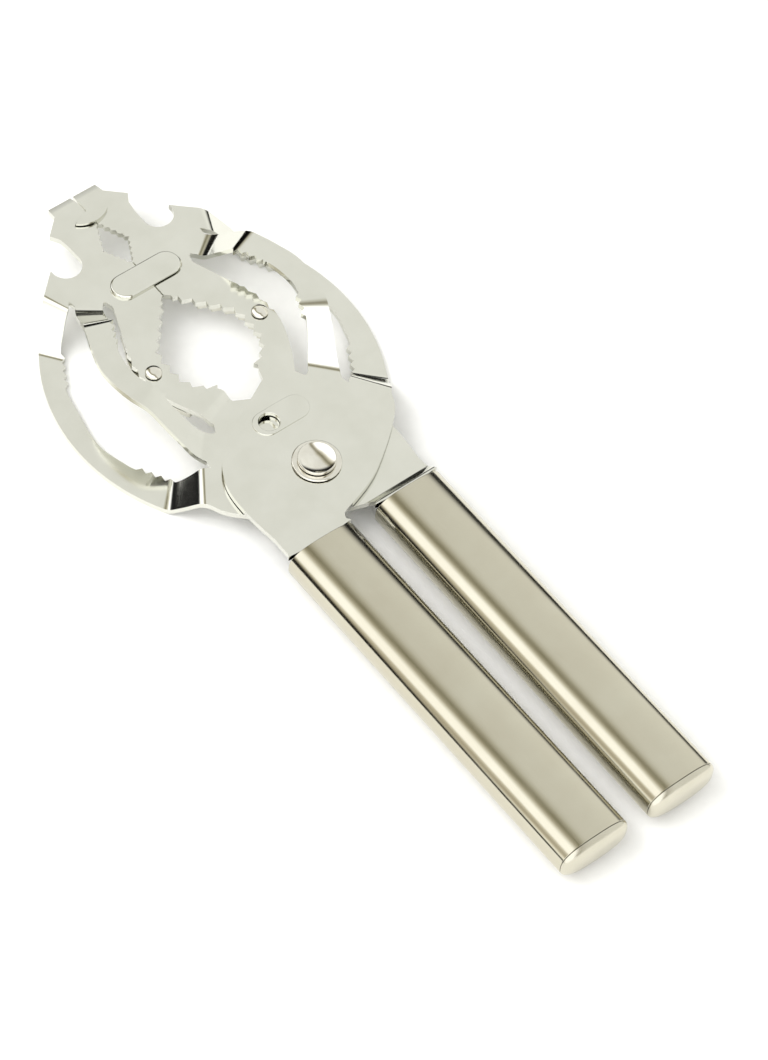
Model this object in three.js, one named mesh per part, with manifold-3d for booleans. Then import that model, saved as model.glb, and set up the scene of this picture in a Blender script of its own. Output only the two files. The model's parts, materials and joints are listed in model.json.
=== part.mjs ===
// Plier-type universal opener: two pressed stainless levers crossing at a dished rivet,
// each with a toothed ring half at the head and an oval tube handle at the other end.
// Millimetres, +Z up, +Y towards the tip. "along" is measured from the tip towards the handles,
// "side" from the plane of symmetry towards the ring half of that lever.
import * as THREE from 'three';
import { mergeGeometries, mergeVertices } from 'three/addons/utils/BufferGeometryUtils.js';
import Module from 'manifold-3d';

const wasm = await Module();
wasm.setup();

// ---- driving dimensions ---------------------------------------------------------------
const gap = 0.3;                    // clearance between neighbouring pieces
const sheet = 1.5;                  // thickness of the pressed sheet
const splitGap = 0.3;               // slit between the two closed ring halves

const lowBandDrop = 8;              // outer band below the middle sheet
const highBandRise = 8;             // inner band above the middle sheet
const bendRound = 0.25;             // share of a bend's length that each of its rounds takes
const lipCrease = 1.5;              // where the tip lips bend down, along
const lipLength = 2.9;
const lipDrop = 0.7;
const lipWidth = 6.7;

const pivotAlong = 91;
const pivotShankRadius = 3;
const pivotHeadRadius = 4.4;
const pivotHeadHeight = 0.8;
const pivotDishDepth = 0.7;
const washerRadius = 5.7;
const washerThickness = 0.4;

const jawRivetAlong = 50.5;
const jawRivetSide = 15;
const jawRivetHeadRadius = 1.95;
const jawRivetHeadHeight = 0.7;
const jawRivetShankRadius = 1.1;
const jawToothDepth = 1.3;
const jawRows = 24;                 // half pitches of teeth along each jaw
const jawPlateReach = -1;           // the backing plate's teeth stand this far behind the jaw's
const bandToothDepth = 1;

const openAngle = 18;               // degrees between the handles' closed and open places
const stopAlong = 76.2;
const stopSide = 2;                 // the boss and the hole sit this far either side of the plane
const stopHoleRadius = 2.5;
const stopBossRadius = 3;
const stopBossHeight = 0.7;         // stands up from the lower lever into the upper one's pocket
const stopPocketDepth = 0.7;
const stopPocketBulge = 0.25;       // height that the pocket raises on the upper face
const stopPocketSlack = 3.3;        // free length of the pocket behind the closed boss

const tongueAlong = 27.2;
const tongueReach = 9.2;              // half length, across the slit
const tongueRadius = 3.4;
const tipTabAlong = 6.5;
const tipTabReach = 4.5;
const tipTabHalfWidth = 1.7;
const offsetStep = (sheet + gap) / 2; // a tab rises and its pocket falls by half a sheet
const trayRim = 0.6;                  // land of the pocket's floor beyond the tab's gap

const handleStart = 108.4;          // to the handle's open end
const handleLength = 94;
const handleSpacing = 24.2;         // between the two handles' centre lines
const handleWidth = 18.2;
const handleHeight = 9.6;
const handleWall = 0.8;
const capThickness = 1.2;
const capSkirt = 4;
const capBulge = 0.5;
const neckRise = 0.3;               // from the upper plate into the handle
const neckBend = 2.6;               // length of the soft bend in either neck
const upperBendStart = 103.6;
const lowerBendStart = 105;
const neckHalfWidth = 8.7;          // at the handle's mouth
const tangDepth = 22;               // length of tang inside the handle
const tangHalfWidth = 5;
const tangAboveCentre = 1.9;        // underside of the tang, above the handle's middle

// ---- heights and places worked out from them -------------------------------------------
const midZ = lowBandDrop;                        // underside of the middle sheet
const lowerZ = midZ - sheet - gap;               // underside of the lower lever's pivot plate
const handleEnd = handleStart + handleLength;
const tipY = (handleEnd + gap + capThickness + capBulge + lipCrease - lipLength) / 2;
const tangZ = midZ + neckRise;
const handleZ = tangZ - tangAboveCentre;
const pivotY = tipY - pivotAlong;

const steelSheet = { color: 0xd8d8ce, roughness: 0.28, metalness: 1 };
const steelBrushed = { color: 0xcbc5b3, roughness: 0.35, metalness: 1 };
const steelRivet = { color: 0xdcd9cf, roughness: 0.18, metalness: 1 };
const plastic = { color: 0x2c2c2c, roughness: 0.6, metalness: 0 };

// ---- small helpers ----------------------------------------------------------------------
const at = (along, side) => new THREE.Vector2(side, tipY - along);
const points = (pairs) => pairs.map(([along, side]) => at(along, side));

// A pressed bend from 0 to 1 between two places: straight, with a round at either end.
function ramp(place, from, to) {
  const t = THREE.MathUtils.clamp((place - from) / (to - from), 0, 1);
  const rise = (u) => u * u / (2 * bendRound * (1 - bendRound));
  if (t < bendRound) return rise(t);
  return t > 1 - bendRound ? 1 - rise(1 - t) : (t - bendRound / 2) / (1 - bendRound);
}

function toSolid(geometry) {
  const bare = geometry.clone();
  bare.deleteAttribute('normal');
  bare.deleteAttribute('uv');
  const merged = mergeVertices(bare, 1e-5);
  return new wasm.Manifold(new wasm.Mesh({
    numProp: 3,
    vertProperties: new Float32Array(merged.attributes.position.array),
    triVerts: new Uint32Array(merged.index.array),
  }));
}

function toGeometry(solid) {
  const mesh = solid.getMesh();
  const geometry = new THREE.BufferGeometry();
  geometry.setAttribute('position', new THREE.BufferAttribute(new Float32Array(mesh.vertProperties), 3));
  geometry.setIndex(new THREE.BufferAttribute(new Uint32Array(mesh.triVerts), 1));
  return geometry;
}

const join = (solids) => solids.reduce((sum, solid) => sum.add(solid));
const cut = (solid, tools) => tools.reduce((rest, tool) => rest.subtract(tool), solid);

function mirrored(geometry) {
  const copy = geometry.clone().scale(-1, 1, 1);
  const index = copy.index.array;
  for (let i = 0; i < index.length; i += 3) [index[i], index[i + 1]] = [index[i + 1], index[i]];
  return copy;
}

function mesh(name, geometry, look) {
  const made = new THREE.Mesh(geometry, new THREE.MeshStandardMaterial(look));
  made.name = name;
  return made;
}

// A flat plate from an outline in plan, its underside at z.
function plate(outline, z, thickness) {
  const flat = new THREE.ExtrudeGeometry(new THREE.Shape(outline), {
    depth: thickness, bevelEnabled: false, curveSegments: 12,
  });
  return toSolid(flat.translate(0, 0, z));
}

// A prism with two round ends, from one centre to the other.
function stadium(from, to, radius, z, thickness) {
  const run = to.clone().sub(from);
  const heading = Math.atan2(run.y, run.x);
  const shape = new THREE.Shape();
  shape.absarc(to.x, to.y, radius, heading - Math.PI / 2, heading + Math.PI / 2, false);
  shape.absarc(from.x, from.y, radius, heading + Math.PI / 2, heading + Math.PI * 1.5, false);
  const flat = new THREE.ExtrudeGeometry(shape, { depth: thickness, bevelEnabled: false, curveSegments: 10 });
  return toSolid(flat.translate(0, 0, z));
}

function disc(centre, radius, z, thickness, segments = 24) {
  const round = new THREE.CylinderGeometry(radius, radius, thickness, segments).rotateX(Math.PI / 2);
  return toSolid(round.translate(centre.x, centre.y, z + thickness / 2));
}

function turned(profile, centre, segments = 32) {
  const corners = profile.map(([radius, height]) => new THREE.Vector2(radius, height));
  return new THREE.LatheGeometry(corners, segments).rotateX(Math.PI / 2).translate(centre.x, centre.y, 0);
}

// A pressed strip: rows of [left, right] plan points, each row at its own height.
function strip(rows, heights) {
  const position = [];
  rows.forEach(([left, right], i) => {
    const low = heights[i];
    position.push(left.x, left.y, low, right.x, right.y, low);
    position.push(right.x, right.y, low + sheet, left.x, left.y, low + sheet);
  });
  const index = [0, 1, 2, 0, 2, 3];
  for (let row = 0; row < rows.length - 1; row += 1) {
    for (let side = 0; side < 4; side += 1) {
      const a = row * 4 + side;
      const b = row * 4 + ((side + 1) % 4);
      index.push(a, a + 4, b, b, a + 4, b + 4);
    }
  }
  const last = (rows.length - 1) * 4;
  index.push(last, last + 2, last + 1, last, last + 3, last + 2);
  const geometry = new THREE.BufferGeometry();
  geometry.setAttribute('position', new THREE.Float32BufferAttribute(position, 3));
  geometry.setIndex(index);
  const solid = toSolid(geometry);
  if (solid.volume() > 0) return solid;
  for (let i = 0; i < index.length; i += 3) [index[i], index[i + 1]] = [index[i + 1], index[i]];
  geometry.setIndex(index);
  return toSolid(geometry);
}

// One arm of the ring: two edge curves, teeth on stretches of either edge, and its height profile.
function arm({ inner, outer, rows, level, innerTeeth = [], outerTeeth = [], depth = 0, outerDepth = 0 }) {
  const curves = [inner, outer].map((edge) => new THREE.SplineCurve(edge));
  const inside = (t, stretches) => stretches.some(([from, to]) => t >= from && t <= to);
  const lines = [];
  for (let i = 0; i <= rows; i += 1) {
    const t = i / rows;
    const [a, b] = curves.map((curve) => curve.getPointAt(t));
    const across = a.clone().sub(b).normalize();
    const tooth = [0, 0.5, 1, 0.5][i % 4];
    if (tooth && inside(t, innerTeeth)) a.addScaledVector(across, depth * tooth);
    if (tooth && inside(t, outerTeeth)) b.addScaledVector(across, outerDepth * tooth);
    lines.push([a, b]);
  }
  const heights = lines.map((line, i) => level(i / rows));
  return strip([tucked(lines[0], lines[1]), ...lines, tucked(lines[rows], lines[rows - 1])],
    [heights[0], ...heights, heights[rows]]);
}

// The end row moved back into the plate that it grows from, and drawn in a little.
function tucked([a, b], [nextA, nextB]) {
  const middle = a.clone().add(b).multiplyScalar(0.5);
  const back = middle.clone().sub(nextA.clone().add(nextB).multiplyScalar(0.5)).setLength(1);
  return [a, b].map((end) => end.clone().lerp(middle, 0.15).add(back));
}

// Fine saw teeth along a straight edge, standing to the left of the run.
function sawEdge(from, to, pitch, depth) {
  const run = to.clone().sub(from);
  const count = Math.max(1, Math.round(run.length() / pitch));
  const left = new THREE.Vector2(-run.y, run.x).normalize().multiplyScalar(depth);
  const made = [];
  for (let i = 0; i < count; i += 1) {
    made.push(from.clone().addScaledVector(run, i / count));
    made.push(from.clone().addScaledVector(run, (i + 0.5) / count).add(left));
  }
  return made;
}

function arcPoints(along, side, radius, from, to, steps) {
  return Array.from({ length: steps + 1 }, (_, i) => {
    const angle = THREE.MathUtils.degToRad(from + ((to - from) * i) / steps);
    return at(along + radius * Math.cos(angle), side + radius * Math.sin(angle));
  });
}

// ---- the lever's plan ---------------------------------------------------------------------
const slit = splitGap / 2;
const diamondReach = 3.8;           // half width of the opening at the tip
const notch = { along: 14.3, side: 13, radius: 3.8 };
const ringCentre = { along: 53.7, side: -9, radius: 47 };
const ringFrom = 139;
const ringTo = 47.3;

const jawInner = points([[33.9, slit], [37, 3.6], [42.2, 8], [46.5, 11.4], [52.5, 11.9], [56.4, 11.4],
  [60, 8.9], [62.2, 5.6], [65.8, 4.2]]);
const jawOuter = points([[30, 11.3], [39.4, 15], [44.1, 17.2], [50.5, 18.1], [56.7, 17.1], [63.3, 14.3],
  [68.2, 11.5]]);
const highInner = points([[29, 13.4], [33, 15.6], [37.2, 17.8], [42, 20.2], [47.4, 21.8], [52.4, 22.2],
  [56.9, 21.2], [62.8, 18.8], [70, 13.8]]);
const highOuter = points([[25, 18.3], [30, 21.3], [36.6, 24], [41.8, 26], [48.5, 27.7], [56.9, 26.9],
  [63.7, 24.5], [70, 21.6], [75.8, 19]]);
const lowInner = points([[24.5, 19.6], [27, 22.8], [29.9, 25.6], [37.6, 29.9], [45.9, 31.8], [51, 32.9],
  [56.2, 33.1], [61.6, 31.7], [65.2, 30.3], [73.8, 25.1], [77.2, 19.8]]);
const lowOuter = arcPoints(ringCentre.along, ringCentre.side, ringCentre.radius, ringFrom, ringTo, 12);

// The round end of a slot between two arms.
const slotEnd = (from, middle, to) => new THREE.SplineCurve([from, middle, to]).getPoints(6);

function tipOutline() {
  return [
    at(lipCrease, slit), at(lipCrease, slit + lipWidth), at(5.4, 11.1), at(7.6, 9.7), at(10.5, 9.3),
    ...arcPoints(notch.along, notch.side, notch.radius, -100, 100, 14),
    lowOuter[0], ...slotEnd(lowInner[0], at(23.2, 18.6), highOuter[0]),
    ...slotEnd(highInner[0], at(27.8, 12), jawOuter[0]), jawInner[0],
    ...sawEdge(at(22.9, slit), at(15.9, diamondReach), 1.7, 0.45),
    ...sawEdge(at(15.9, diamondReach), at(7.9, slit), 1.7, 0.45),
    at(7.9, slit),
  ];
}

// A run of plan points joined by one smooth curve.
const smoothRun = (pairs, steps) => new THREE.SplineCurve(points(pairs)).getPoints(steps);

function pivotPlateOutline() {
  return [
    jawInner.at(-1), ...slotEnd(jawOuter.at(-1), at(70.4, 12.6), highInner.at(-1)),
    ...slotEnd(highOuter.at(-1), at(77.6, 19.4), lowInner.at(-1)), lowOuter.at(-1),
    ...smoothRun([[88.1, 24.4], [91, 22.1], [95.3, 16.9], [100.2, 9.9], [102.5, 5.2]], 16),
    ...smoothRun([[102.5, -20.2], [93.8, -21], [86.1, -20.6], [80.8, -18.5], [76.6, -15],
      [73.1, -9.8], [68.9, -1.8]], 28),
  ];
}

// The neck narrows from the pivot plate into the tang, with the soft bend up between them.
function neck(plateZ, bendFrom, bendTo) {
  const centre = -handleSpacing / 2;
  const rows = [[101.5, -20.2, 6], [102.5, -20.2, 5.2], [103.5, -20.3, 2.4], [104.3, -20.3, 0],
    [105, -20.4, -2.2], [105.6, -20.4, -3.5], [106.3, -20.4, -3.9], [107, -20.4, -4.1],
    [handleStart - 2 * gap, centre - neckHalfWidth, centre + neckHalfWidth]];
  const lines = rows.map(([along, left, right]) => [at(along, left), at(along, right)]);
  [handleStart - gap, handleStart + tangDepth].forEach((along) => {
    lines.push([at(along, centre - tangHalfWidth), at(along, centre + tangHalfWidth)]);
  });
  const bend = (end) => ramp(tipY - end.y, bendFrom, bendTo);
  const heights = lines.map(([end]) => plateZ + (tangZ - plateZ) * bend(end));
  return strip(lines, heights);
}

function lips() {
  const rows = [0.6, 0, -lipLength / 2, -lipLength];
  const inset = [0.05, 0, 0.1, 0.25];
  const lines = rows.map((ahead, i) => [at(lipCrease + ahead, slit + inset[i]),
    at(lipCrease + ahead, slit + lipWidth - inset[i])]);
  return strip(lines, [midZ, midZ, midZ - lipDrop * 0.45, midZ - lipDrop]);
}

function ringArms(plateZ) {
  const end = plateZ - midZ;
  const level = (height, up, down) => (t) => midZ
    + height * ramp(t, up[0], up[1]) * (1 - ramp(t, down[0], down[1])) + end * ramp(t, down[0], down[1]);
  return [
    arm({ inner: jawInner, outer: jawOuter, rows: 2 * jawRows, depth: jawToothDepth, outerDepth: jawToothDepth / 2,
      innerTeeth: [[0.05, 0.88]], outerTeeth: [[0.3, 0.55]], level: level(0, [0, 0.1], [0.93, 0.985]) }),
    arm({ inner: highInner, outer: highOuter, rows: 88, depth: bandToothDepth,
      innerTeeth: [[0.2, 0.38], [0.64, 0.76]], level: level(highBandRise, [0, 0.24], [0.68, 0.98]) }),
    arm({ inner: lowInner, outer: lowOuter, rows: 104, depth: bandToothDepth,
      innerTeeth: [[0.13, 0.26], [0.74, 0.88]], level: level(-lowBandDrop, [0, 0.15], [0.86, 0.99]) }),
  ];
}

// ---- features that let the two levers meet --------------------------------------------------
const stopReach = Math.hypot(pivotAlong - stopAlong, stopSide);
const stopAngle = Math.asin(stopSide / stopReach);
const stopPocketEnd = stopReach * Math.sin(THREE.MathUtils.degToRad(openAngle) - stopAngle);

// The pocket in which the lower lever's boss travels, pressed up out of the upper plate.
function stopPocket(z, depth) {
  return stadium(at(stopAlong, -stopPocketEnd), at(stopAlong, stopSide + stopPocketSlack),
    stopBossRadius + gap, z, depth);
}

function addStopPocket(solid) {
  const overlap = 0.1;
  const raised = solid.add(stopPocket(midZ + sheet - overlap, stopPocketBulge + overlap));
  return cut(raised, [stopPocket(midZ, stopPocketDepth), disc(at(stopAlong, -stopSide), stopHoleRadius, midZ, 5)]);
}

// Drawn on the lower lever's own plan, which is mirrored, so it lands on the other side.
function addStopBoss(solid) {
  return solid.add(disc(at(stopAlong, -stopSide), stopBossRadius, lowerZ + sheet / 2, sheet / 2 + stopBossHeight));
}

// The tongue's plan is a stadium across the slit, grown by the given margin.
function tongue(margin, z) {
  const end = tongueReach - tongueRadius;
  return stadium(at(tongueAlong, -end), at(tongueAlong, end), tongueRadius + margin, z, sheet);
}

// The tip tab's plan is a leaf with pointed ends: where two discs overlap.
function tipTab(margin, z) {
  const halfWidth = tipTabHalfWidth + margin;
  const reach = tipTabReach + margin;
  const radius = (reach ** 2 + halfWidth ** 2) / (2 * halfWidth);
  const [near, far] = [-1, 1].map((side) => disc(at(tipTabAlong + side * (radius - halfWidth), 0), radius, z, sheet, 96));
  return near.intersect(far);
}

const ringSide = () => plate([at(-10, slit), at(-10, 60), at(60, 60), at(60, slit)], -50, 100);

// A raised tab crosses the slit from this lever; its own half is pressed up out of the tip plate.
const addTab = (solid, tab) => solid.add(tab(0, midZ + offsetStep));

// The pocket under the other lever's tab: the tip plate pressed down by half a sheet.
function addTabPocket(solid, tab) {
  const opening = tab(gap, midZ + sheet - offsetStep);
  const tray = tab(gap + trayRim, midZ - offsetStep);
  return solid.subtract(opening).add(tray.intersect(ringSide()));
}

// ---- the two levers --------------------------------------------------------------------------
function lever(plateZ, bendFrom) {
  const pressed = join([
    plate(tipOutline(), midZ, sheet), plate(pivotPlateOutline(), plateZ, sheet),
    ...ringArms(plateZ), neck(plateZ, bendFrom, bendFrom + neckBend), lips(),
  ]);
  return cut(pressed, [
    disc(at(pivotAlong, 0), pivotShankRadius + gap, plateZ - 5, 10, 32),
    disc(at(jawRivetAlong, jawRivetSide), jawRivetShankRadius + gap, midZ - 1, sheet + 2, 16),
  ]);
}

function upperLever() {
  const withTab = addTab(addStopPocket(lever(midZ, upperBendStart)), tipTab);
  return toGeometry(addTabPocket(withTab, tongue));
}

function lowerLever() {
  const withTongue = addTab(addStopBoss(lever(lowerZ, lowerBendStart)), tongue);
  return mirrored(toGeometry(addTabPocket(withTongue, tipTab)));
}

// ---- toothed backing plates under the jaws ---------------------------------------------------
function backingPlate() {
  const z = midZ - gap - sheet;
  const middle = (t) => (4 + (jawRows - 8) * t) / jawRows;
  const edges = [jawInner, jawOuter].map((edge) => new THREE.SplineCurve(edge));
  const sample = (curve) => Array.from({ length: 9 }, (_, i) => curve.getPointAt(middle(i / 8)));
  const [inner, outer] = edges.map(sample);
  inner.forEach((point, i) => point.addScaledVector(point.clone().sub(outer[i]).normalize(), jawPlateReach));
  const curved = arm({ inner, outer, rows: 2 * (jawRows - 8), level: () => z,
    innerTeeth: [[0.02, 0.98]], depth: jawToothDepth });
  return curved.subtract(disc(at(jawRivetAlong, jawRivetSide), jawRivetShankRadius + gap, z - 1, sheet + 2, 16));
}

function jawRivet() {
  const top = midZ + sheet + gap;
  const bottom = midZ - sheet - 2 * gap;
  const crown = (radius, base, height) => [[radius, base], [radius, base + height * 0.45],
    [radius * 0.8, base + height * 0.85], [radius * 0.45, base + height]];
  return turned([
    [0, bottom - 0.5], [jawRivetHeadRadius * 0.7, bottom - 0.5], [jawRivetHeadRadius * 0.8, bottom],
    [jawRivetShankRadius, bottom], [jawRivetShankRadius, top],
    ...crown(jawRivetHeadRadius, top, jawRivetHeadHeight), [0, top + jawRivetHeadHeight],
  ], at(jawRivetAlong, jawRivetSide), 20);
}

// ---- main rivet and its washers ----------------------------------------------------------------
const pivotCentre = at(pivotAlong, 0);
const plateTop = midZ + sheet;
const plateBottom = lowerZ;
const washerHole = pivotShankRadius + gap;

function pivotRivet() {
  const seat = plateTop + gap + washerThickness + gap;
  const foot = plateBottom - gap - washerThickness - gap;
  const top = seat + pivotHeadHeight;
  return turned([
    [0, foot - pivotHeadHeight], [pivotHeadRadius * 0.8, foot - pivotHeadHeight],
    [pivotHeadRadius, foot - pivotHeadHeight * 0.4], [pivotHeadRadius, foot], [pivotShankRadius, foot],
    [pivotShankRadius, seat], [pivotHeadRadius, seat], [pivotHeadRadius, top - 0.25],
    [pivotHeadRadius - 0.25, top], [pivotHeadRadius - 0.7, top], [pivotHeadRadius * 0.6, top - pivotDishDepth * 0.7],
    [0, top - pivotDishDepth],
  ], pivotCentre);
}

function washer(z) {
  const top = z + washerThickness;
  return turned([[washerHole, z], [washerRadius, z], [washerRadius, top - 0.15], [washerRadius - 0.2, top],
    [washerHole, top], [washerHole, z]], pivotCentre);
}

// ---- handles -----------------------------------------------------------------------------------
// Oval with a flat top and a rounder belly, shrunk by the given inset.
function handleSection(inset, steps = 96) {
  const halfWidth = handleWidth / 2 - inset;
  const halfHeight = handleHeight / 2 - inset;
  return Array.from({ length: steps }, (_, i) => {
    const angle = (2 * Math.PI * i) / steps;
    const power = 2 / (Math.sin(angle) > 0 ? 3 : 2.5);
    return new THREE.Vector2(
      halfWidth * Math.sign(Math.cos(angle)) * Math.abs(Math.cos(angle)) ** power,
      halfHeight * Math.sign(Math.sin(angle)) * Math.abs(Math.sin(angle)) ** power,
    );
  });
}

// Extrudes a section down the handle, from one distance along to another.
function alongHandle(outline, holes, from, to) {
  const shape = new THREE.Shape(outline);
  shape.holes = holes.map((hole) => new THREE.Path(hole));
  const solid = new THREE.ExtrudeGeometry(shape, { depth: to - from, bevelEnabled: false });
  return solid.rotateX(Math.PI / 2).translate(handleSpacing / 2, tipY - from, handleZ);
}

function handleTube() {
  return alongHandle(handleSection(0), [handleSection(handleWall)], handleStart, handleEnd);
}

function endCap() {
  const start = handleEnd + gap;
  const face = alongHandle(handleSection(0), [], start, start + capThickness);
  const crown = alongHandle(handleSection(0.8), [], start + capThickness / 2, start + capThickness + capBulge);
  const skirt = alongHandle(handleSection(handleWall + gap, 48), [], handleEnd - capSkirt, start + capThickness / 2);
  return toGeometry(join([face, crown, skirt].map(toSolid)));
}

// Moulded insert that holds the tang up against the top of the tube.
function tangInsert() {
  const from = handleStart + 2;
  const body = alongHandle(handleSection(handleWall + gap, 48), [], from, handleStart + tangDepth + 6);
  const centre = handleSpacing / 2;
  const reach = tangHalfWidth + gap;
  const slot = plate([at(from - 1, centre - reach), at(handleStart + tangDepth + gap, centre - reach),
    at(handleStart + tangDepth + gap, centre + reach), at(from - 1, centre + reach)], tangZ - gap, handleHeight);
  return toGeometry(toSolid(body).subtract(slot));
}

// ---- assembly ------------------------------------------------------------------------------------
const opener = new THREE.Group();
opener.add(mesh('upper_lever', upperLever(), steelSheet));
opener.add(mesh('lower_lever', lowerLever(), steelSheet));
opener.add(mesh('right_jaw_plate', toGeometry(backingPlate()), steelSheet));
opener.add(mesh('left_jaw_plate', mirrored(toGeometry(backingPlate())), steelSheet));
opener.add(mesh('right_jaw_rivet', jawRivet(), steelRivet));
opener.add(mesh('left_jaw_rivet', jawRivet().translate(-2 * jawRivetSide, 0, 0), steelRivet));
opener.add(mesh('pivot_rivet', pivotRivet(), steelRivet));
opener.add(mesh('pivot_washer_top', washer(plateTop + gap), steelRivet));
opener.add(mesh('pivot_washer_bottom', washer(plateBottom - gap - washerThickness), steelRivet));
opener.add(mesh('right_handle_tube', handleTube(), steelBrushed));
opener.add(mesh('left_handle_tube', handleTube().translate(-handleSpacing, 0, 0), steelBrushed));
opener.add(mesh('right_handle_cap', endCap(), steelBrushed));
opener.add(mesh('left_handle_cap', endCap().translate(-handleSpacing, 0, 0), steelBrushed));
opener.add(mesh('right_tang_insert', tangInsert(), plastic));
opener.add(mesh('left_tang_insert', tangInsert().translate(-handleSpacing, 0, 0), plastic));

export default opener;
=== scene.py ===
import json
import math

import bmesh
import bpy
from bpy.props import FloatProperty, FloatVectorProperty, IntProperty, PointerProperty
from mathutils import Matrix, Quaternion, Vector


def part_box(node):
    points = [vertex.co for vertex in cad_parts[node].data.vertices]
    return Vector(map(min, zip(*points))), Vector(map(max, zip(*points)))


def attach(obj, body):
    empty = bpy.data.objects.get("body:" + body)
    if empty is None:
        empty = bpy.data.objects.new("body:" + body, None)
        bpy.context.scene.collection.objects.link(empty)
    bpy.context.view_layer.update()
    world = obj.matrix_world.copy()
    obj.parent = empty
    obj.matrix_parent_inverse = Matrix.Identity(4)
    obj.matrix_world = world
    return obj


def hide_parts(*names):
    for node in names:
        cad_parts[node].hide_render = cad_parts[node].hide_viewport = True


bl_info = {
    "name": "Plier-type Opener",
    "version": (1, 0, 0),
    "blender": (4, 5, 0),
    "location": "View3D > Sidebar > Opener",
    "description": "Builds a stainless plier-type opener around its frame: levers, jaws, rivets and handles",
    "category": "Add Mesh",
}

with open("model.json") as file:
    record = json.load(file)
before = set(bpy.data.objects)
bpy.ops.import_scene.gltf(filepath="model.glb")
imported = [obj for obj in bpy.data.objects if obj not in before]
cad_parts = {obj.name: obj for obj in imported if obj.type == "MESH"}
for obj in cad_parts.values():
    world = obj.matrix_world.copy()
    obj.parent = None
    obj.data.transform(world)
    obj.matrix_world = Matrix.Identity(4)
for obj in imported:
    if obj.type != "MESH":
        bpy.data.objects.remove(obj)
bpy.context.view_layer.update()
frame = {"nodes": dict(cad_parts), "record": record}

MM = 0.001
SHEET = 1.5 * MM                      # thickness of the pressed sheet
CLEARANCE = 0.3 * MM                  # air that each piece keeps to its neighbour
TAB_RISE = (SHEET + CLEARANCE) / 2    # height that the tongue and the tip tab stand above the sheet
POCKET_RISE = 0.25 * MM               # height that the stop pocket raises on the upper face
SHEET_TOP = 8.0 * MM + SHEET          # upper face of the middle sheet, above the floor
TUBE_WALL = 0.8 * MM
PIVOT_SHANK = 3.0 * MM                # radius
JAW_SHANK = 1.1 * MM                  # radius


# ---- colours and nodes ---------------------------------------------------------------------------
def srgb(code):
    """An sRGB hex colour as linear red, green, blue and alpha."""
    channels = [int(code[i:i + 2], 16) / 255 for i in (1, 3, 5)]
    return [c / 12.92 if c <= 0.04045 else ((c + 0.055) / 1.055) ** 2.4 for c in channels] + [1.0]


def add_node(tree, kind, links=(), settings=None, **inputs):
    """Adds a node with its settings, its input values and the links that go into it."""
    node = tree.nodes.new(kind)
    for key, value in (settings or {}).items():
        setattr(node, key, value)
    for key, value in inputs.items():
        node.inputs[key.replace("_", " ")].default_value = value
    for name, output in links:
        tree.links.new(output, node.inputs[name])
    return node


def new_material(name):
    """An empty material, its node tree, and its Principled shader joined to the output."""
    material = bpy.data.materials.new(name)
    material.use_nodes = True
    tree = material.node_tree
    tree.nodes.clear()
    shader = add_node(tree, "ShaderNodeBsdfPrincipled")
    add_node(tree, "ShaderNodeOutputMaterial", links=[("Surface", shader.outputs["BSDF"])])
    return material, tree, shader


def set_ramp(node, stops):
    """Gives a colour ramp its stops, each a place and an sRGB hex colour."""
    ramp = node.color_ramp
    while len(ramp.elements) > 1:
        ramp.elements.remove(ramp.elements[-1])
    ramp.elements[0].position, ramp.elements[0].color = stops[0][0], srgb(stops[0][1])
    for place, code in stops[1:]:
        ramp.elements.new(place).color = srgb(code)
    return node


def steel(name, light, dark, roughness, mottle_mm, streak=(1, 1, 1), bump_mm=0.0, grain_mm=0.12, spread=0.05):
    """A stainless finish: faint clouding in tone, fine grain in roughness, and a slight relief."""
    material, tree, shader = new_material(name)
    shader.inputs["Metallic"].default_value = 1.0
    place = add_node(tree, "ShaderNodeTexCoord")
    stretched = add_node(tree, "ShaderNodeMapping", links=[("Vector", place.outputs["Object"])], Scale=streak)
    cloud = add_node(tree, "ShaderNodeTexNoise", links=[("Vector", place.outputs["Object"])],
                     Scale=1 / (mottle_mm * MM), Detail=4.0, Roughness=0.55)
    tone = set_ramp(add_node(tree, "ShaderNodeValToRGB", links=[("Fac", cloud.outputs["Fac"])]),
                    [(0.32, dark), (0.68, light)])
    tree.links.new(tone.outputs["Color"], shader.inputs["Base Color"])
    grain = add_node(tree, "ShaderNodeTexNoise", links=[("Vector", stretched.outputs["Vector"])],
                     Scale=1 / (grain_mm * MM), Detail=3.0, Roughness=0.6)
    rough = add_node(tree, "ShaderNodeMapRange", links=[("Value", grain.outputs["Fac"])],
                     From_Min=0.3, From_Max=0.7, To_Min=roughness - spread, To_Max=roughness + spread)
    tree.links.new(rough.outputs["Result"], shader.inputs["Roughness"])
    if bump_mm:
        relief = add_node(tree, "ShaderNodeBump", links=[("Height", grain.outputs["Fac"])],
                          Distance=bump_mm * MM, Strength=1.0)
        tree.links.new(relief.outputs["Normal"], shader.inputs["Normal"])
    return material


# ---- shared ways of making a piece ---------------------------------------------------------------
def finish_piece(bm, node, material, recalculate=False):
    """Puts a bmesh in the scene as the piece that stands for a CAD node."""
    name = node + "_finished"
    if recalculate:
        bmesh.ops.recalc_face_normals(bm, faces=bm.faces)
    mesh = bpy.data.meshes.new(name)
    bm.to_mesh(mesh)
    bm.free()
    piece = bpy.data.objects.new(name, mesh)
    bpy.context.collection.objects.link(piece)
    mesh.materials.append(material)
    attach(piece, body_of(node))
    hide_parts(node)
    return piece


def body_of(node):
    """The moving body that a CAD node belongs to."""
    bodies = frame["record"]["behaviour"]["bodies"]
    return next(body for body, members in bodies.items() if node in members)


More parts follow.
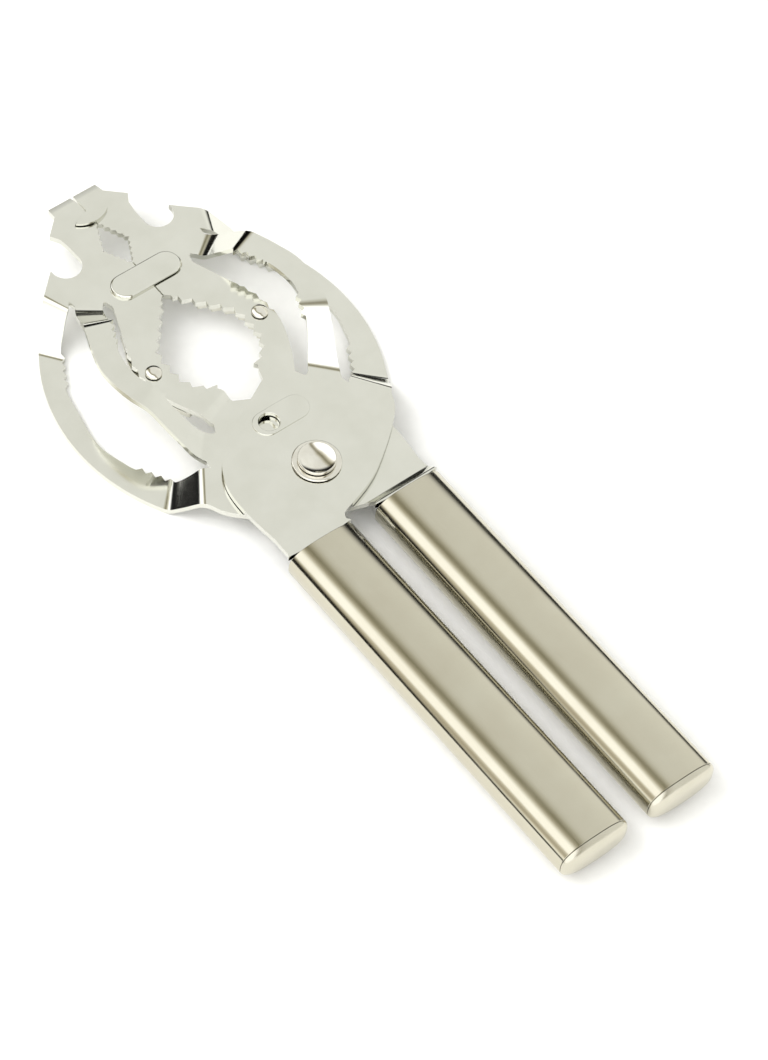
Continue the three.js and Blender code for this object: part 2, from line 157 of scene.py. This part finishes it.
def cleaned_copy(node, flat_angle=0.3):
    """A bmesh of a CAD node's own shape, its doubles merged and its flat faces joined up."""
    bm = bmesh.new()
    bm.from_mesh(frame["nodes"][node].data)
    bmesh.ops.remove_doubles(bm, verts=bm.verts, dist=0.002 * MM)
    bmesh.ops.dissolve_degenerate(bm, edges=bm.edges, dist=0.002 * MM)
    bmesh.ops.dissolve_limit(bm, verts=bm.verts, edges=bm.edges, angle_limit=math.radians(flat_angle))
    return bm


def soften_edges(bm, width, segments, angle):
    """Rounds the edges that are sharper than the angle, as tumbling does."""
    sharp = [edge for edge in bm.edges if edge.is_manifold and edge.calc_face_angle(0) > math.radians(angle)]
    bmesh.ops.bevel(bm, geom=sharp, offset=width, offset_type="OFFSET", affect="EDGES",
                    segments=segments, profile=0.5, clamp_overlap=True, material=-1)
    return bm


def roll_edges(bm, height, width):
    """Rounds the sharp edges that lie level at a height, as a press tool leaves a raised land."""
    def level(edge):
        return all(abs(vert.co.z - height) < 0.01 * MM for vert in edge.verts)

    rim = [edge for edge in bm.edges
           if level(edge) and edge.is_manifold and edge.calc_face_angle(0) > math.radians(60)]
    bmesh.ops.bevel(bm, geom=rim, offset=width, offset_type="OFFSET", affect="EDGES",
                    segments=4, profile=0.5, clamp_overlap=True, material=-1)


def shade(bm, angle):
    """Smooth faces, with a crease kept where two meet more sharply than the angle."""
    for face in bm.faces:
        face.smooth = True
    for edge in bm.edges:
        edge.smooth = not (edge.is_manifold and edge.calc_face_angle(0) > math.radians(angle))
    return bm


# ---- materials -----------------------------------------------------------------------------------
def pressed_sheet_steel():
    """Stainless sheet, pressed and then tumble-polished: an even pale grey with a soft mirror."""
    return steel("pressed_sheet_steel", "#e2e2da", "#dcdcd3", roughness=0.1, mottle_mm=9.0, grain_mm=0.35,
                 spread=0.02, bump_mm=0.0008)


def jaw_steel_painted_shade():
    """Thin stamped jaw stock: the same steel, rougher, with painted shade darkening its tone all over."""
    # painted shade: both tones sit below the sheet's, for the shade under the middle jaws
    return steel("jaw_steel_painted_shade", "#d6d5ca", "#cac8bc", roughness=0.24, mottle_mm=4.0, grain_mm=0.3,
                 spread=0.04)


def rolled_rivet_steel():
    """Rivet heads rolled over by a polished tool, so they are the brightest metal."""
    return steel("rolled_rivet_steel", "#e8e6dd", "#dddad0", roughness=0.11, mottle_mm=2.5, grain_mm=0.2,
                 spread=0.02)


def satin_tube_steel():
    """Drawn tube, satin along its length: warm grey with long soft reflections."""
    return steel("satin_tube_steel", "#ccc8b7", "#c7c2b0", roughness=0.15, mottle_mm=14.0,
                 streak=(1, 0.04, 1), grain_mm=0.3, spread=0.03, bump_mm=0.0005)


def satin_cap_steel():
    """Pressed end caps, linished flush with the tube, so their tone is the tube's own."""
    return steel("satin_cap_steel", "#d2cebf", "#ccc8b8", roughness=0.24, mottle_mm=6.0, grain_mm=0.3,
                 spread=0.03)


def insert_painted_shade():
    """Moulded insert with a fine matt texture, near black as painted shade; it shows only inside the tube's
    mouth.
    """
    material, tree, shader = new_material("insert_painted_shade")
    place = add_node(tree, "ShaderNodeTexCoord")
    texture = add_node(tree, "ShaderNodeTexNoise", links=[("Vector", place.outputs["Object"])],
                       Scale=1 / (0.4 * MM), Detail=3.0)
    # painted shade: near-black tones for the dark inside the tube's mouth
    tone = set_ramp(add_node(tree, "ShaderNodeValToRGB", links=[("Fac", texture.outputs["Fac"])]),
                    [(0.3, "#1d1d1c"), (0.7, "#2b2b29")])
    tree.links.new(tone.outputs["Color"], shader.inputs["Base Color"])
    shader.inputs["Roughness"].default_value = 0.6
    return material


def matt_paper():
    """Seamless paper roll under the opener: white and quite matt."""
    material, tree, shader = new_material("matt_paper")
    place = add_node(tree, "ShaderNodeTexCoord")
    fibre = add_node(tree, "ShaderNodeTexNoise", links=[("Vector", place.outputs["Object"])],
                     Scale=1 / (2.5 * MM), Detail=2.0)
    tone = set_ramp(add_node(tree, "ShaderNodeValToRGB", links=[("Fac", fibre.outputs["Fac"])]),
                    [(0.3, "#f4f4f3"), (0.7, "#f7f7f6")])
    tree.links.new(tone.outputs["Color"], shader.inputs["Base Color"])
    shader.inputs["Roughness"].default_value = 0.9
    shader.inputs["Specular IOR Level"].default_value = 0.1
    return material


# ---- pieces --------------------------------------------------------------------------------------
def node_box(node):
    """A CAD node's lowest corner, highest corner and centre."""
    low, high = (Vector(corner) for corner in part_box(node))
    return low, high, (low + high) / 2


def softened_piece(node, material, edge, segments=2, angle=28, rolled=()):
    """A CAD node's own shape, its edges softened; rolled lists (height, width) of edges rounded more."""
    bm = cleaned_copy(node)
    for height, width in rolled:
        roll_edges(bm, height, width)
    shade(soften_edges(bm, edge, segments, angle), 50)
    piece = finish_piece(bm, node, material)
    normals = piece.modifiers.new("even_faces", "WEIGHTED_NORMAL")
    normals.keep_sharp = True
    return piece


def spun(profile, centre, steps):
    """A closed solid of revolution about a vertical axis, from a half profile that starts and ends on it."""
    bm = bmesh.new()
    verts = [bm.verts.new((centre.x + radius, centre.y, height)) for radius, height in profile]
    edges = [bm.edges.new(pair) for pair in zip(verts, verts[1:])]
    bmesh.ops.spin(bm, geom=verts + edges, cent=centre, axis=(0, 0, 1), angle=2 * math.pi, steps=steps,
                   use_merge=True, use_duplicate=False)
    bmesh.ops.remove_doubles(bm, verts=bm.verts, dist=0.001 * MM)
    return bm


def rounded(corners, radii, segments=5):
    """A half profile with its corners rounded: each is (radius, height), in metres."""
    made = []
    for i, corner in enumerate(corners):
        here = Vector(corner)
        if not radii[i]:
            made.append(tuple(here))
            continue
        back = (Vector(corners[i - 1]) - here).normalized() * radii[i]
        ahead = (Vector(corners[i + 1]) - here).normalized() * radii[i]
        for k in range(segments + 1):
            t = k / segments
            made.append(tuple(here + back * (1 - t) ** 2 + ahead * t ** 2))
    return made


class OvalSettings(bpy.types.PropertyGroup):
    top_power: FloatProperty(name="Top power", description="Squareness of the handle's upper half",
                             default=3.0)
    belly_power: FloatProperty(name="Belly power", description="Squareness of the handle's lower half",
                               default=2.5)


def oval_ring(bm, centre, half_width, half_height, y, settings, steps=128):
    """One loop of the handle's oval section, square to the handle."""
    ring = bmesh.ops.create_circle(bm, cap_ends=False, radius=1.0, segments=steps)["verts"]
    for vert in ring:
        across, up = vert.co.x, vert.co.y
        power = settings.top_power if up > 0 else settings.belly_power
        vert.co = Vector((centre.x + half_width * math.copysign(abs(across) ** (2 / power), across), y,
                          centre.z + half_height * math.copysign(abs(up) ** (2 / power), up)))
    return [edge for edge in bm.edges if edge.verts[0] in ring and edge.verts[1] in ring]


class LeverSettings(bpy.types.PropertyGroup):
    edge: FloatProperty(name="Edge rounding", description="How far the pressed edges are rounded",
                        default=0.1 * MM, min=0.02 * MM, max=0.2 * MM, unit="LENGTH")
    tongue_roll: FloatProperty(name="Tongue rounding", description="Rounding of the raised tongue's rim",
                               default=0.5 * MM, min=0.1 * MM, max=0.8 * MM, unit="LENGTH")
    pocket_roll: FloatProperty(name="Pocket rounding", description="Rounding of the stop pocket's rim",
                               default=0.22 * MM, min=0.05 * MM, max=0.24 * MM, unit="LENGTH")
    jaw_edge: FloatProperty(name="Jaw edge rounding", description="Rounding of the stamped jaw plates",
                            default=0.12 * MM, min=0.02 * MM, max=0.25 * MM, unit="LENGTH")


class RivetSettings(bpy.types.PropertyGroup):
    steps: IntProperty(name="Steps", description="Faces around each rivet", default=64, min=24, max=128)
    dish: FloatProperty(name="Dish", description="Depth of the dished main rivet head",
                        default=0.9 * MM, unit="LENGTH")
    rim: FloatProperty(name="Rim", description="Width of the rolled rim round the dish",
                       default=0.2 * MM, unit="LENGTH")
    washer_edge: FloatProperty(name="Washer edge", description="Rounding of the washers' edges",
                               default=0.1 * MM, unit="LENGTH")


class StageSettings(bpy.types.PropertyGroup):
    azimuth: FloatProperty(name="Azimuth", description="Camera heading from +Y", default=math.radians(44.03),
                           unit="ROTATION")
    elevation: FloatProperty(name="Elevation", description="Camera height angle", default=math.radians(55.14),
                             unit="ROTATION")
    roll: FloatProperty(name="Roll", description="Camera turned about its own view",
                        default=math.radians(7.02), unit="ROTATION")
    distance: FloatProperty(name="Distance", description="Camera to target", default=1.012,
                            unit="LENGTH")
    target: FloatVectorProperty(name="Target", description="Point at the middle of the view", size=3,
                                default=(0.00157, -0.01188, 0.008), unit="LENGTH")
    lens: FloatProperty(name="Lens", description="Focal length for a 36 mm sensor", default=215.06,
                        unit="CAMERA")


class OPENER_OT_levers(bpy.types.Operator):
    """Both pressed levers, with their edges softened by tumbling"""
    bl_idname = "opener.levers"
    bl_label = "Levers"

    def execute(self, context):
        sheet = pressed_sheet_steel()
        settings = context.scene.opener_levers
        pressed = [(SHEET_TOP + TAB_RISE, settings.tongue_roll),
                   (SHEET_TOP + POCKET_RISE, settings.pocket_roll)]
        for node in ("upper_lever", "lower_lever"):
            softened_piece(node, sheet, settings.edge, rolled=pressed)
        return {"FINISHED"}


class OPENER_OT_jaw_plates(bpy.types.Operator):
    """The toothed plates riveted under the middle jaws"""
    bl_idname = "opener.jaw_plates"
    bl_label = "Jaw Plates"

    def execute(self, context):
        stamped = jaw_steel_painted_shade()
        for node in ("right_jaw_plate", "left_jaw_plate"):
            softened_piece(node, stamped, context.scene.opener_levers.jaw_edge)
        return {"FINISHED"}


class OPENER_OT_rivets(bpy.types.Operator):
    """The dished main rivet, its two washers and the two jaw rivets"""
    bl_idname = "opener.rivets"
    bl_label = "Rivets"

    def execute(self, context):
        settings = context.scene.opener_rivets
        bright = rolled_rivet_steel()
        self.main_rivet(settings, bright)
        for node in ("pivot_washer_top", "pivot_washer_bottom"):
            softened_piece(node, bright, settings.washer_edge)
        for node in ("right_jaw_rivet", "left_jaw_rivet"):
            self.jaw_rivet(node, settings, bright)
        return {"FINISHED"}

    def main_rivet(self, settings, bright):
        low, high, centre = node_box("pivot_rivet")
        radius = (high.x - low.x) / 2
        top_washer = node_box("pivot_washer_top")[1].z + CLEARANCE
        bottom_washer = node_box("pivot_washer_bottom")[0].z - CLEARANCE
        dish_steps, dish_power = 12, 2.4
        corners = [(0, low.z), (radius * 0.8, low.z), (radius, low.z + 0.45 * MM), (radius, bottom_washer),
                   (PIVOT_SHANK, bottom_washer), (PIVOT_SHANK, top_washer), (radius, top_washer),
                   (radius, high.z), (radius - settings.rim, high.z)]
        radii = [0, 0.4 * MM, 0.2 * MM, 0.1 * MM, 0, 0, 0.12 * MM, 0.2 * MM, 0.1 * MM]
        dish_radius = radius - settings.rim
        for step in range(1, dish_steps + 1):
            out = 1 - step / dish_steps
            corners.append((dish_radius * out, high.z - settings.dish * (1 - out ** dish_power)))
            radii.append(0)
        bm = shade(spun(rounded(corners, radii), centre, settings.steps), 40)
        finish_piece(bm, "pivot_rivet", bright, recalculate=True)

    def jaw_rivet(self, node, settings, bright):
        low, high, centre = node_box(node)
        radius = (high.x - low.x) / 2
        head, foot = 0.7 * MM, 0.5 * MM
        corners = [(0, low.z), (radius * 0.7, low.z), (radius * 0.8, low.z + foot), (JAW_SHANK, low.z + foot),
                   (JAW_SHANK, high.z - head), (radius, high.z - head), (radius, high.z - head * 0.5),
                   (radius * 0.55, high.z), (0, high.z)]
        radii = [0, 0.12 * MM, 0.08 * MM, 0, 0, 0.05 * MM, 0.25 * MM, 0.4 * MM, 0]
        bm = shade(spun(rounded(corners, radii), centre, settings.steps), 40)
        finish_piece(bm, node, bright, recalculate=True)


class OPENER_OT_handles(bpy.types.Operator):
    """The oval tube handles and their domed end caps"""
    bl_idname = "opener.handles"
    bl_label = "Handles"

    def execute(self, context):
        tube, cap = satin_tube_steel(), satin_cap_steel()
        for side in ("right", "left"):
            self.tube(side + "_handle_tube", context.scene.opener_oval, tube)
            self.cap(side + "_handle_cap", context.scene.opener_oval, cap)
        return {"FINISHED"}

    def tube(self, node, settings, material):
        low, high, centre = node_box(node)
        half_width, half_height = (high.x - low.x) / 2, (high.z - low.z) / 2
        lip = 0.2 * MM
        rows = [(0, high.y - lip), (lip * 0.3, high.y - lip * 0.3), (lip, high.y),
                (TUBE_WALL - lip * 0.5, high.y), (TUBE_WALL, high.y - lip * 0.5),
                (TUBE_WALL, low.y + lip * 0.5), (TUBE_WALL - lip * 0.5, low.y),
                (lip * 0.4, low.y), (0, low.y + lip * 0.4)]
        bm = bmesh.new()
        rings = [oval_ring(bm, centre, half_width - inset, half_height - inset, y, settings)
                 for inset, y in rows]
        for ring, following in zip(rings, rings[1:] + rings[:1]):
            bmesh.ops.bridge_loops(bm, edges=ring + following)
        finish_piece(shade(bm, 35), node, material, recalculate=True)

    def cap(self, node, settings, material):
        low, high, centre = node_box(node)
        half_width, half_height = (high.x - low.x) / 2, (high.z - low.z) / 2
        seam, edge, dome_steps = 0.07 * MM, 0.15 * MM, 9
        rim = node_box(node.replace("cap", "tube"))[0].y - seam
        skirt_inset = TUBE_WALL + CLEARANCE
        rows = [(skirt_inset, high.y), (skirt_inset, rim), (edge, rim), (0, rim - edge)]
        depth = rim - edge - low.y
        for step in range(1, dome_steps):
            angle = step / dome_steps * math.pi / 2
            rows.append(((1 - math.cos(angle)) * half_height * 0.8, rim - edge - depth * math.sin(angle)))
        bm = bmesh.new()
        rings = [oval_ring(bm, centre, half_width - inset, half_height - inset, y, settings)
                 for inset, y in rows]
        for ring, following in zip(rings, rings[1:]):
            bmesh.ops.bridge_loops(bm, edges=ring + following)
        bmesh.ops.contextual_create(bm, geom=rings[0])
        bmesh.ops.contextual_create(bm, geom=rings[-1])
        finish_piece(shade(bm, 35), node, material, recalculate=True)


class OPENER_OT_inserts(bpy.types.Operator):
    """The moulded inserts that hold the tangs inside the tubes"""
    bl_idname = "opener.inserts"
    bl_label = "Tang Inserts"

    def execute(self, context):
        plastic = insert_painted_shade()
        for node in ("right_tang_insert", "left_tang_insert"):
            softened_piece(node, plastic, edge=0.15 * MM)
        return {"FINISHED"}


class OPENER_OT_stage(bpy.types.Operator):
    """White paper floor, soft studio light and the camera"""
    bl_idname = "opener.stage"
    bl_label = "Stage"

    def execute(self, context):
        self.floor()
        self.surroundings(context.scene)
        self.key_light()
        self.camera(context.scene)
        context.scene.view_settings.view_transform = "Standard"
        return {"FINISHED"}

    def floor(self):
        bm = bmesh.new()
        half_side, drop = 0.45, 0.02 * MM
        bmesh.ops.create_grid(bm, x_segments=1, y_segments=1, size=half_side)
        bmesh.ops.translate(bm, verts=bm.verts, vec=(0, 0, -drop))
        mesh = bpy.data.meshes.new("paper_floor")
        bm.to_mesh(mesh)
        bm.free()
        mesh.materials.append(matt_paper())
        paper = bpy.data.objects.new("paper_floor", mesh)
        bpy.context.collection.objects.link(paper)

    def surroundings(self, scene):
        """Soft boxes and grey gaps round the table, as bands of brightness from -X to +X.

        Steel shows what is round it, so these bands were set to lay the right highlights along the
        tubes. The far bands serve reflections that lean to +Y, the near ones the rest, and all of them
        fade towards the horizon.
        """
        world = bpy.data.worlds.new("studio")
        world.use_nodes = True
        scene.world = world
        tree = world.node_tree
        tree.nodes.clear()
        heading = add_node(tree, "ShaderNodeTexCoord")
        parts = add_node(tree, "ShaderNodeSeparateXYZ", links=[("Vector", heading.outputs["Generated"])])
        place = add_node(tree, "ShaderNodeMapRange", links=[("Value", parts.outputs["X"])],
                         From_Min=-1.0, From_Max=1.0)
        far_side = set_ramp(add_node(tree, "ShaderNodeValToRGB", links=[("Fac", place.outputs["Result"])]), [
            (0.0, "#ffffff"), (0.05, "#fffff8"), (0.11, "#b4ae9f"), (0.17, "#a39d8e"), (0.25, "#c0bbad"),
            (0.3, "#ffffff"), (0.47, "#ffffff"), (0.54, "#aba797"), (0.597, "#67634f"), (0.64, "#a8a598"),
            (0.668, "#c3c3bf"),
            (0.8, "#cacac6"), (0.93, "#d0d0cc"), (1.0, "#8f8f8a")])
        near_side = set_ramp(add_node(tree, "ShaderNodeValToRGB", links=[("Fac", place.outputs["Result"])]), [
            (0.0, "#e8e8e4"), (0.08, "#ffffff"), (0.5, "#ffffff"), (0.56, "#8d897a"),
            (0.6, "#7a7666"), (0.64, "#c6c6c2"), (1.0, "#cacac6")])
        nearness = add_node(tree, "ShaderNodeMapRange", links=[("Value", parts.outputs["Y"])],
                            settings={"interpolation_type": "SMOOTHSTEP"},
                            From_Min=0.3, From_Max=0.0, To_Min=0.0, To_Max=1.0)
        both = add_node(tree, "ShaderNodeMix", settings={"data_type": "RGBA"})
        tree.links.new(nearness.outputs["Result"], both.inputs[0])
        tree.links.new(far_side.outputs["Color"], both.inputs[6])
        tree.links.new(near_side.outputs["Color"], both.inputs[7])
        lean = add_node(tree, "ShaderNodeMath", settings={"operation": "MULTIPLY_ADD"},
                        links=[("Value", parts.outputs["Y"])])
        lean.inputs[1].default_value = -0.35  # the dim horizon reaches higher towards +Y
        tree.links.new(parts.outputs["Z"], lean.inputs[2])
        height = add_node(tree, "ShaderNodeMapRange", links=[("Value", lean.outputs["Value"])],
                          From_Min=0.02, From_Max=0.2, To_Min=0.02, To_Max=1.7)
        glow = add_node(tree, "ShaderNodeBackground",
                        links=[("Color", both.outputs[2]), ("Strength", height.outputs["Result"])])
        add_node(tree, "ShaderNodeOutputWorld", links=[("Surface", glow.outputs["Background"])])

    def key_light(self):
        light = bpy.data.lights.new("key_softbox", "AREA")
        light.shape = "SQUARE"
        light.size = 0.9
        light.energy = 12.0
        lamp = bpy.data.objects.new("key_softbox", light)
        lamp.location = (-0.9, 0.5, 1.3)
        lamp.rotation_euler = (-lamp.location).to_track_quat("-Z", "Y").to_euler()
        lamp.visible_glossy = False
        bpy.context.collection.objects.link(lamp)

    def camera(self, scene):
        settings = scene.opener_stage
        level = math.cos(settings.elevation)
        forward = Vector((math.sin(settings.azimuth) * level, math.cos(settings.azimuth) * level,
                          -math.sin(settings.elevation)))
        data = bpy.data.cameras.new("studio_camera")
        data.sensor_fit = "HORIZONTAL"
        data.sensor_width = 36.0
        data.lens = settings.lens
        data.clip_start, data.clip_end = 0.05, 20.0
        camera = bpy.data.objects.new("studio_camera", data)
        camera.location = Vector(settings.target) - forward * settings.distance
        turn = forward.to_track_quat("-Z", "Y")
        camera.rotation_mode = "QUATERNION"
        camera.rotation_quaternion = turn @ Quaternion((0, 0, 1), settings.roll)
        bpy.context.collection.objects.link(camera)
        scene.camera = camera


class OPENER_PT_panel(bpy.types.Panel):
    """Everything the opener is built from"""
    bl_label = "Opener"
    bl_idname = "OPENER_PT_panel"
    bl_space_type = "VIEW_3D"
    bl_region_type = "UI"
    bl_category = "Opener"

    def draw(self, context):
        for operator in OPERATORS:
            self.layout.operator(operator.bl_idname)
        for group, settings in SETTINGS.items():
            box = self.layout.box()
            for name in settings.__annotations__:
                box.prop(getattr(context.scene, group), name)


OPERATORS = (OPENER_OT_levers, OPENER_OT_jaw_plates, OPENER_OT_rivets, OPENER_OT_handles, OPENER_OT_inserts,
             OPENER_OT_stage)
SETTINGS = {"opener_levers": LeverSettings, "opener_rivets": RivetSettings, "opener_oval": OvalSettings,
            "opener_stage": StageSettings}
CLASSES = (*SETTINGS.values(), *OPERATORS, OPENER_PT_panel)


def register():
    for cls in CLASSES:
        bpy.utils.register_class(cls)
    for name, group in SETTINGS.items():
        setattr(bpy.types.Scene, name, PointerProperty(type=group))


def unregister():
    for name in SETTINGS:
        delattr(bpy.types.Scene, name)
    for cls in reversed(CLASSES):
        bpy.utils.unregister_class(cls)


def main():
    register()
    bpy.ops.opener.levers()
    bpy.ops.opener.jaw_plates()
    bpy.ops.opener.rivets()
    bpy.ops.opener.handles()
    bpy.ops.opener.inserts()
    bpy.ops.opener.stage()


if __name__ == "__main__":
    main()
